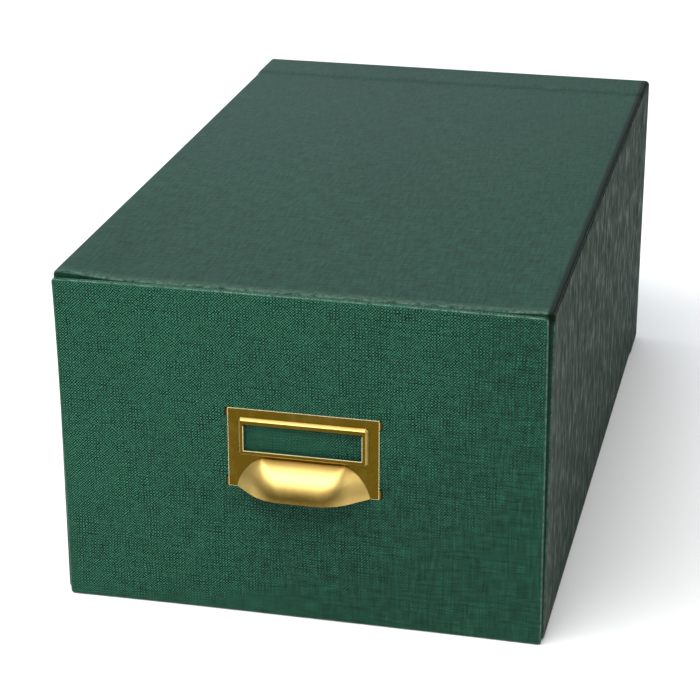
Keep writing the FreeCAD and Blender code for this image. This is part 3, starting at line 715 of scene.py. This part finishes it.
def case_line(inset):
    """The line across the box at each inset, as x and z with a row for each point along it.

    From the left flap it goes round the lower corner, up the wall, round the upper corner and over
    the top, and the right half mirrors it. A corner is an arc whose radius shrinks by the inset.
    """
    reach = np.maximum(inset, LONG_ROUND)
    radius = LONG_ROUND - np.minimum(inset, LONG_ROUND)
    flap = np.array([case_x - UNDER_TURN, *FLAP_LINES, case_x - 2 * cover - wall])[:, None]
    turn = quarter[:, None]
    share = span(0, 1, WALL_STEPS)[:, None]
    low, high = under_z + reach, case_z - reach
    x = [-flap + 0 * inset, -(case_x - reach) - radius * np.sin(turn), -(case_x - inset) + 0 * share,
         -(case_x - reach) - radius * np.cos(turn)]
    z = [under_z + inset + 0 * flap, low - radius * np.cos(turn), low + (high - low) * share,
         high + radius * np.sin(turn)]
    across = span(-1, 1, TOP_STEPS)[1:-1, None]
    left_x, left_z = np.concatenate(x), np.concatenate(z)
    line_x = np.concatenate([left_x, across * (case_x - reach), -left_x[::-1]])
    line_z = np.concatenate([left_z, case_z - inset + 0 * across, left_z[::-1]])
    return line_x, line_z, len(flap), len(turn)


def make_case_cover():
    """The sheet: case_line at each step of the way from the turn-in to the back edge.

    The way has seven stretches: the turn-in, the inner round of the mouth, its flat edge, its outer
    round, the open skin, the rise over the back cover's edge, and the band behind it.
    """
    depth = 2 * cover + wall
    ridge = span(0, 1, 6)
    steps = [(span(mouth_y + MOUTH_TURN, mouth_y + EDGE_ROUND, 8), np.full(9, depth)),
             (mouth_y + EDGE_ROUND * (1 - np.sin(quarter)), depth - EDGE_ROUND * (1 - np.cos(quarter))),
             (np.full(3, mouth_y), span(depth - EDGE_ROUND, EDGE_ROUND, 2)),
             (mouth_y + EDGE_ROUND * (1 - np.cos(quarter)), EDGE_ROUND * (1 - np.sin(quarter))),
             (span(mouth_y + EDGE_ROUND, turn_y - RIDGE_RUN, 60), np.zeros(61)),
             (turn_y - RIDGE_RUN + RIDGE_RUN * ridge, -cover * ease(ridge)),
             (span(turn_y, wrap_end_y, 6), np.full(7, -cover))]
    y = np.concatenate([step[0] for step in steps])
    inset = np.concatenate([step[1] for step in steps])
    ends = np.cumsum([len(step[0]) for step in steps])
    x, z, flap_rows, arc_rows = case_line(inset[None, :])
    places = sag(stacked(x, y[None, :], z))

    keep = np.ones((x.shape[0] - 1, x.shape[1] - 1), bool)
    skin, band = ends[3] - 1, ends[5] - 1
    lower = flap_rows + arc_rows
    for rows in (slice(0, flap_rows - 1), slice(-flap_rows + 1, None)):
        keep[rows, :skin] = False
    for rows in (slice(0, lower), slice(-lower, None)):
        keep[rows, band:] = False
    column = ends[4] - 2
    flat = stacked(run_length(x[:, column], z[:, column])[:, None], run_length(y, inset)[None, :])
    # The roll at the mouth gets a pale band: scuffs, and a painted highlight along the case's front edge.
    rolled_and_lit = np.exp(-((inset - ROLL_WORN_LIT) / ROLL_WORN_LIT_WIDE) ** 2) * (y < mouth_y + EDGE_ROUND + SEAM)
    piece = make_sheet("case_cover", [build_grid(places, flat, keep, rolled_and_lit[None, :])], cover_case,
                       thickness=cover * FITTED)
    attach(piece, "case")
    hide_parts("case_wrap")
    return piece


case_cover = make_case_cover()
print("cover of the case:", len(case_cover.data.polygons), "faces")

# %% [markdown]
# The boards and tapes under the sag
#
# Under the sagging cover lie the top board and the walls that carry it, and tape joins them inside.
# They show when the drawer is out, so they follow the cover by the same amount. A board is six
# grids, one for each face, and a tape is a folded strip.

# %% Boards that bend
def block_grids(low, high, steps):
    """The six faces of a block between two corners, each a grid with steps along x, y and z."""
    grids = []
    for axis in range(3):
        first, second = [other for other in range(3) if other != axis]
        for side, place in enumerate((low[axis], high[axis])):
            a, b = np.meshgrid(span(low[first], high[first], steps[first]),
                               span(low[second], high[second], steps[second]), indexing="ij")
            if (side == 1) == (axis == 1):
                a, b = a[:, ::-1], b[:, ::-1]
            grid = np.empty((*a.shape, 3))
            grid[..., first], grid[..., second], grid[..., axis] = a, b, place
            grids.append((grid, stacked(a, b)))
    return grids


def make_board(name, node, steps):
    """A board of the case that follows the sag, with its faces' steps along x, y and z."""
    grids = [build_grid(sag(grid), flat) for grid, flat in block_grids(*corners(node), steps)]
    piece = make_sheet(name, grids, finishes["grey_board"])
    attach(piece, "case")
    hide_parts(node)
    return piece


for side, steps in (("top", (60, 50, 1)), ("left", (1, 50, 20)), ("right", (1, 50, 20))):
    board = make_board(f"{side}_board", f"case_{side}_board", steps)
    print(board.name, "has", len(board.data.polygons), "faces")

# %% Tapes that bend
TAPE = 0.25
FOLD_STEPS = 6


def make_top_tape(side, name, node):
    """A strip folded into a corner: up the wall and in along the top, carried to the back."""
    low, high = corners(node)
    wall_x, inner_x = (low[0], high[0]) if side < 0 else (high[0], low[0])
    leg = span(0, 1, FOLD_STEPS)
    x = np.concatenate([np.full(len(leg), wall_x), wall_x + (inner_x - wall_x) * leg[1:]])
    z = np.concatenate([low[2] + (high[2] - low[2]) * leg, np.full(FOLD_STEPS, high[2])])
    y = span(low[1], high[1], 50)
    places = sag(stacked(x[:, None], y[None, :], z[:, None]))
    flat = stacked(run_length(x, z)[:, None], y[None, :])
    if side > 0:
        places, flat = places[::-1], flat[::-1]
    piece = make_sheet(name, [build_grid(places, flat)], finishes["gummed_tape"], TAPE)
    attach(piece, "case")
    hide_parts(node)
    return piece


for side, hand in ((-1, "left"), (1, "right")):
    make_top_tape(side, f"top_{hand}_tape", f"case_top_{hand}_tape")
print("thickness of the tapes in mm:", TAPE)

# %% [markdown]
# The false front
#
# The false front is a board with its cover turned over all four edges onto the back. Real ones are
# never quite flat: the cover pulls its corners forward as the glue dries, and this one was also
# glued on a little out of square. A lattice could bend the finished piece. Here a bend moves each
# point of cover and board alike, before they are meshes.

# %% Bend of the false front
front_low, front_high = corners("front_cover")
front_x, front_z = front_high[0], (front_low[2], front_high[2])
front_middle = sum(front_z) / 2
CORNER_LEAN = {"top": (1.3, 0.9), "bottom": (0.8, 0.5)}
ASKEW = -0.6


def lean(places):
    """Shifts the top to the left and the bottom to the right, and draws the corners forward.

    A corner comes forward by its lean times the cubes of how far out x and z are from the middle.
    """
    x, y, z = places[..., 0], places[..., 1], places[..., 2]
    across = np.clip(x / front_x, -1, 1)
    upward = np.clip((z - front_middle) / (front_z[1] - front_middle), -1, 1)
    right, top = (across + 1) / 2, (upward + 1) / 2
    high = CORNER_LEAN["top"][0] * (1 - right) + CORNER_LEAN["top"][1] * right
    low = CORNER_LEAN["bottom"][0] * (1 - right) + CORNER_LEAN["bottom"][1] * right
    forward = (high * top + low * (1 - top)) * np.abs(across * upward) ** 3
    return stacked(x + ASKEW * upward, y - forward, z)


print("false front in mm:", round(front_x * 2, 1), "x", round(front_z[1] - front_z[0], 1))

# %% [markdown]
# The slots for the pull
#
# The pull holds by four tabs, which go through slots in the cover and its board and are bent flat
# behind. A slot could be cut with a boolean. On a grid it is enough to have grid lines along its
# sides and to leave out the faces between them.

# %% Slots
pull_low, pull_high = corners("label_pull")
TAB_REACH = 0.8
SLOT_PLAY = 0.2
TAB_INSET = 0.4
TAB_WIDE = 3.0
plate_x = (pull_low[0] + TAB_REACH, pull_high[0] - TAB_REACH)
plate_z = (pull_low[2], pull_high[2])
tab_z = [(plate_z[0] + TAB_INSET, plate_z[0] + TAB_INSET + TAB_WIDE),
         (plate_z[1] - TAB_INSET - TAB_WIDE, plate_z[1] - TAB_INSET)]
slot_x = [(plate_x[0] - TAB_REACH - SLOT_PLAY, plate_x[0]), (plate_x[1], plate_x[1] + TAB_REACH + SLOT_PLAY)]
slot_z = [(low - SLOT_PLAY, high + SLOT_PLAY) for low, high in tab_z]


def lines(low, high, step, marks):
    """Grid lines about step apart from low to high, with one at each mark."""
    places = span(low, high, round((high - low) / step))
    places = places[np.abs(places[:, None] - np.ravel(marks)[None, :]).min(axis=1) > step / 4]
    return np.sort(np.concatenate([places, np.ravel(marks)]))


def inside_any(places, ranges):
    """Where a place lies within one of the ranges."""
    return np.any([(places > low) & (places < high) for low, high in ranges], axis=0)


def outside_slots(across, upward):
    """Which faces of a grid with these lines stay when the slots are cut."""
    middle_x, middle_z = (across[:-1] + across[1:]) / 2, (upward[:-1] + upward[1:]) / 2
    return ~(inside_any(middle_x, slot_x)[:, None] & inside_any(middle_z, slot_z)[None, :])


print("slots in mm:", round(TAB_WIDE + 2 * SLOT_PLAY, 1), "x", round(TAB_REACH + SLOT_PLAY, 1))

# %% [markdown]
# The cover and the board of the false front
#
# The cover is a square grid on the face, with its slots, and round it a ring that is carried over
# the edge and onto the back. The ring's cross line is the same all round: flat on the face, a
# round, across the edge, a round, and flat on the back. Where the sheet bends over the edge, its
# paper is pale: rubbed, and a painted highlight along the edge.

# %% Cover of the false front
FACE_MARGIN = 6.0
CORNER_ROUND = 1.2
FRONT_TURN = 15.0
FACE_STEPS = 6
SIDE_BAND = 2.0
EDGE_WORN_LIT, EDGE_WORN_LIT_WIDE = 0.65, 0.22


def make_front_cover():
    """The face's grid with its slots, and the ring round it that is turned onto the back."""
    edge_x = front_x - FACE_MARGIN
    edge_z = (front_z[0] + FACE_MARGIN, front_z[1] - FACE_MARGIN)
    across = lines(-edge_x, edge_x, 3.0, slot_x)
    upward = lines(*edge_z, 3.0, slot_z)
    x, z = np.meshgrid(across, upward, indexing="ij")
    face = stacked(x, front_low[1], z)
    keep = outside_slots(across, upward)

    y = [np.full(FACE_STEPS + 1, front_low[1]), front_low[1] + EDGE_ROUND * (1 - np.cos(quarter)),
         front_high[1] - EDGE_ROUND * (1 - np.sin(quarter)), np.full(9, front_high[1])]
    inset = [span(FACE_MARGIN, EDGE_ROUND, FACE_STEPS), EDGE_ROUND * (1 - np.sin(quarter)),
             EDGE_ROUND * (1 - np.cos(quarter)), span(EDGE_ROUND, FRONT_TURN, 8)]
    y, inset = np.concatenate(y)[None, :], np.concatenate(inset)[None, :]
    reach, radius = np.maximum(inset, CORNER_ROUND), CORNER_ROUND - np.minimum(inset, CORNER_ROUND)
    share_x = ((across + edge_x) / (2 * edge_x))[:, None]
    share_z = ((upward - edge_z[0]) / (edge_z[1] - edge_z[0]))[:, None]
    arc = quarter[:, None]
    west, east = -(front_x - reach), front_x - reach
    south, north = front_z[0] + reach, front_z[1] - reach
    ring_x = [west + (east - west) * share_x, east + radius * np.sin(arc), east + radius + 0 * share_z,
              east + radius * np.cos(arc), west + (east - west) * share_x[::-1], west - radius * np.sin(arc),
              west - radius + 0 * share_z, west - radius * np.cos(arc)]
    ring_z = [south - radius + 0 * share_x, south - radius * np.cos(arc), south + (north - south) * share_z,
              north + radius * np.sin(arc), north + radius + 0 * share_x, north + radius * np.cos(arc),
              south + (north - south) * share_z[::-1], south - radius * np.sin(arc)]
    ring_x, ring_z = np.concatenate(ring_x), np.concatenate(ring_z)
    ring = stacked(ring_x, y, ring_z)
    ring = np.concatenate([ring, ring[:1]])
    run = run_length(y[0], inset[0])
    beyond = run - run[FACE_STEPS]
    outward = np.clip(beyond, 0, None)[None, :]
    at_side = np.abs(ring[..., 0]) > front_x - SIDE_BAND
    flat = ring[..., [0, 2]].copy()
    flat[..., 0] += np.sign(flat[..., 0]) * outward * at_side
    flat[..., 1] += np.sign(flat[..., 1] - front_middle) * outward * ~at_side
    # The band where the sheet bends over the edge is pale: rubbed, and a painted highlight along the edge.
    rubbed_and_lit = np.exp(-((beyond - EDGE_WORN_LIT) / EDGE_WORN_LIT_WIDE) ** 2)[None, :]
    grids = [build_grid(lean(face), stacked(x, z), keep),
             build_grid(lean(ring)[::-1], flat[::-1], None, rubbed_and_lit)]
    piece = make_sheet("front_cover_sheet", grids, cover_front, thickness=cover * FITTED)
    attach(piece, "drawer")
    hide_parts("front_cover")
    return piece


front_cover = make_front_cover()
print("cover of the false front:", len(front_cover.data.polygons), "faces")


# %% Board of the false front
def make_front_board():
    """The board behind the cover, with the same slots, bent in the same way."""
    low, high = corners("front_board")
    across = lines(low[0], high[0], 4.0, slot_x)
    upward = lines(low[2], high[2], 4.0, slot_z)
    x, z = np.meshgrid(across, upward, indexing="ij")
    places = lean(stacked(x, low[1], z))
    grid = build_grid(places, places[..., [0, 2]], outside_slots(across, upward))
    piece = make_sheet("front_panel_board", [grid], finishes["grey_board"], thickness=high[1] - low[1])
    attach(piece, "drawer")
    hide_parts("front_board")
    return piece


front_board = make_front_board()
print("board of the false front:", len(front_board.data.polygons), "faces")

# %% [markdown]
# The pull
#
# The pull is pressed from one piece of sheet brass in a die: a flat plate, a frame raised round the
# label window, and a cup drawn out below it. Three shapes could be joined, but it is one grid here
# as well, because it is one sheet there. Below, rows follow the cup: at the angle t it has cos t of
# its reach and sin t of its height, both to a power, and the plate beside it starts where the cup
# ends. Above, rows run straight across, and the raised frame is a smooth step in the distance from
# the frame's outline.

# %% Frame of the pull
SHEET = 0.5
WINDOW_WIDE = 40.8
WINDOW_TALL = 9.6
WINDOW_DROP = 5.3
FRAME_RIM = 2.2
FRAME_HIGH = 1.3
FRAME_SLOPE = 1.25
FRAME_CORNER = 1.5
pull_x = (plate_x[0] + plate_x[1]) / 2
plate_half = (plate_x[1] - plate_x[0]) / 2
window_z = (plate_z[1] - WINDOW_DROP - WINDOW_TALL, plate_z[1] - WINDOW_DROP)


def frame_step(x, z):
    """How far the frame stands out at a place: a smooth step in from its rounded outline.

    The distance in from a rounded rectangle is its corner's radius, less the distance out from the
    rectangle that is smaller by that radius.
    """
    half_x = WINDOW_WIDE / 2 + FRAME_RIM - FRAME_CORNER
    half_z = WINDOW_TALL / 2 + FRAME_RIM - FRAME_CORNER
    out_x = np.abs(x) - half_x
    out_z = np.abs(z - sum(window_z) / 2) - half_z
    outside = np.hypot(np.maximum(out_x, 0), np.maximum(out_z, 0)) + np.minimum(np.maximum(out_x, out_z), 0)
    rise = np.sin(np.clip((FRAME_CORNER - outside) / FRAME_SLOPE, 0, 1) * math.pi / 2)
    return FRAME_HIGH * rise


print("window in mm:", WINDOW_WIDE, "x", WINDOW_TALL, "from", round(window_z[0], 1), "above the table")

# %% Cup of the pull
CUP_TALL = 11.6
CUP_FLAT = 28.8
CUP_SIDE = 9.5
CUP_SLOPE = 1.1
CUP_CORNER = 17.0
CUP_FULL = 1.55
CUP_STEPS, ARC_STEPS, FALL_STEPS = 34, 14, 12
plate_y = front_low[1]
cup_out = plate_y - pull_low[1]


def cup_plan(share):
    """Half the cup's outline from above at each share of its full reach, as x and distance out.

    From the middle it runs straight along the front, round an arc, and slants back to the plate.
    """
    turned = math.pi / 2 - math.atan(CUP_SLOPE)
    turn = span(0, turned, ARC_STEPS)
    half = CUP_FLAT / 2 + CUP_SIDE * share
    front = half - (CUP_SLOPE * cup_out + CUP_CORNER * math.tan(turned / 2)) * share
    arc_x = front + CUP_CORNER * share * np.sin(turn)
    arc_out = np.maximum((cup_out - CUP_CORNER * (1 - np.cos(turn))) * share, SHEET)
    fall = span(0, 1, FALL_STEPS)[1:]
    foot = np.maximum(half - CUP_SLOPE * SHEET, arc_x[:, -1:])
    slant_x = arc_x[:, -1:] + (foot - arc_x[:, -1:]) * fall
    slant_out = arc_out[:, -1:] + (SHEET - arc_out[:, -1:]) * fall
    side_x, side_out = np.concatenate([arc_x, slant_x], axis=1), np.concatenate([arc_out, slant_out], axis=1)
    side_x[-1] = side_x[-1, -1]
    return front, side_x, side_out


print("cup stands out by", round(cup_out, 2), "mm")

# %% Grid of the pull
MIDDLE_STEPS = 30
RIM_GAP, ROW_GAP = 0.2, 0.15
LIP = 0.4
INSIDE_RIM = 1.0


def pull_grid():
    """The pull's outer face, without the window.

    The power 2 / CUP_FULL makes the cup's quarter of an ellipse a little flatter on its slope.
    """
    angle = span(0, math.acos((SHEET / cup_out) ** (CUP_FULL / 2)), CUP_STEPS)[:, None]
    share = np.cos(angle) ** (2 / CUP_FULL)
    front, side_x, side_out = cup_plan(share)
    rim_out = WINDOW_WIDE / 2 + FRAME_RIM
    marks = np.concatenate([span(plate_half, rim_out + RIM_GAP, 4), span(rim_out, rim_out - FRAME_CORNER, 8),
                            span(WINDOW_WIDE / 2 + LIP, WINDOW_WIDE / 2, 1),
                            span(WINDOW_WIDE / 2 - INSIDE_RIM, side_x[-1, -1], 5)])
    flank = ((plate_half - marks) / (plate_half - marks[-1]))[:-1]
    flank_x = plate_half + (side_x[:, -1:] - plate_half) * flank
    middle = span(-1, 1, MIDDLE_STEPS)[1:-1]
    x = np.concatenate([-flank_x, -side_x[:, ::-1], front * middle, side_x, flank_x[:, ::-1]], axis=1)
    edge = np.full_like(flank_x, SHEET)
    middle_out = np.maximum(cup_out * share, SHEET) + 0 * middle
    out = np.concatenate([edge, side_out[:, ::-1], middle_out, side_out, edge], axis=1)
    z = plate_z[0] + CUP_TALL * np.sin(angle) ** (2 / CUP_FULL) + 0 * x

    rim_low, rim_high = window_z[0] - FRAME_RIM, window_z[1] + FRAME_RIM
    upward = np.concatenate([[rim_low - ROW_GAP], span(rim_low, rim_low + FRAME_CORNER, 8),
                             span(window_z[0] - LIP, window_z[0], 1), span(*window_z, 10)[1:-1],
                             span(window_z[1], window_z[1] + LIP, 1),
                             span(rim_high - FRAME_CORNER, rim_high, 8),
                             span(rim_high + ROW_GAP, plate_z[1], 5)])
    upper_x, upper_z = np.meshgrid(x[-1], upward)
    upper_out = SHEET + frame_step(upper_x, upper_z)
    x, z = np.concatenate([x, upper_x]).T, np.concatenate([z, upper_z]).T
    out = np.concatenate([out, upper_out]).T
    middle_x, middle_z = (x[:-1, 1:] + x[1:, 1:]) / 2, (z[1:, :-1] + z[1:, 1:]) / 2
    window = (np.abs(middle_x) < WINDOW_WIDE / 2) & inside_any(middle_z, [window_z])
    places = stacked(x + pull_x, plate_y - out, z)
    return build_grid(places, places[..., [0, 2]], ~window)


# %% Tabs and sheet of the pull
TAB_CLINCH = 4.0
CUT_ROUND = 0.22
MARGIN = 0.02
CUP_MARGIN = 0.1


def tab_grid(side, upright):
    """A tab from the plate's side edge: a quarter turn back, through its slot, and flat behind."""
    back = pull_high[1] - plate_y
    out = np.concatenate([[0], TAB_REACH * np.sin(quarter), TAB_REACH * np.cos(quarter), [-TAB_CLINCH]])
    y = plate_y + np.concatenate([[-SHEET], -SHEET + TAB_REACH * (1 - np.cos(quarter)),
                                  back - TAB_REACH * (1 - np.sin(quarter)), [back]])
    x = plate_x[(side + 1) // 2] + side * out
    places = stacked(x[:, None], y[:, None], np.array(upright)[None, :])
    if side < 0:
        places = places[::-1]
    return build_grid(places, places[..., [0, 2]])


def make_pull():
    """The pressed sheet with its four tabs."""
    tabs = [tab_grid(side, upright) for side in (-1, 1) for upright in tab_z]
    finish = brass("pressed_brass", (plate_y - SHEET) * MM, (plate_half + MARGIN) * MM,
                   (plate_z[0] + CUP_TALL + CUP_MARGIN) * MM,
                   (pull_x * MM, sum(window_z) / 2 * MM),
                   ((WINDOW_WIDE / 2 + CUT_ROUND) * MM, (WINDOW_TALL / 2 + CUT_ROUND) * MM))
    piece = make_sheet("brass_pull", [pull_grid(), *tabs], finish, SHEET * FITTED, CUT_ROUND)
    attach(piece, "drawer")
    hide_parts("label_pull")
    return piece


pull = make_pull()
print("pull in mm:", round(plate_x[1] - plate_x[0], 1), "x", round(plate_z[1] - plate_z[0], 1),
      "with", len(pull.data.polygons), "faces")

# %% [markdown]
# The pieces that keep their shape
#
# The drawer, the back cover, the linings and the lower tapes are right as they come. Each takes the
# finish of its material slot, as the model's record names it.

# %% Finishes of the kept pieces
slots = {row["node"]: row["material_slot"] for row in frame["record"]["subparts"]}
finishes["pressed_brass"] = pull.data.materials[0]
for name, node in frame["nodes"].items():
    node.data.materials.clear()
    node.data.materials.append(finishes[slots[name]])
print("nodes with a finish:", len(slots))
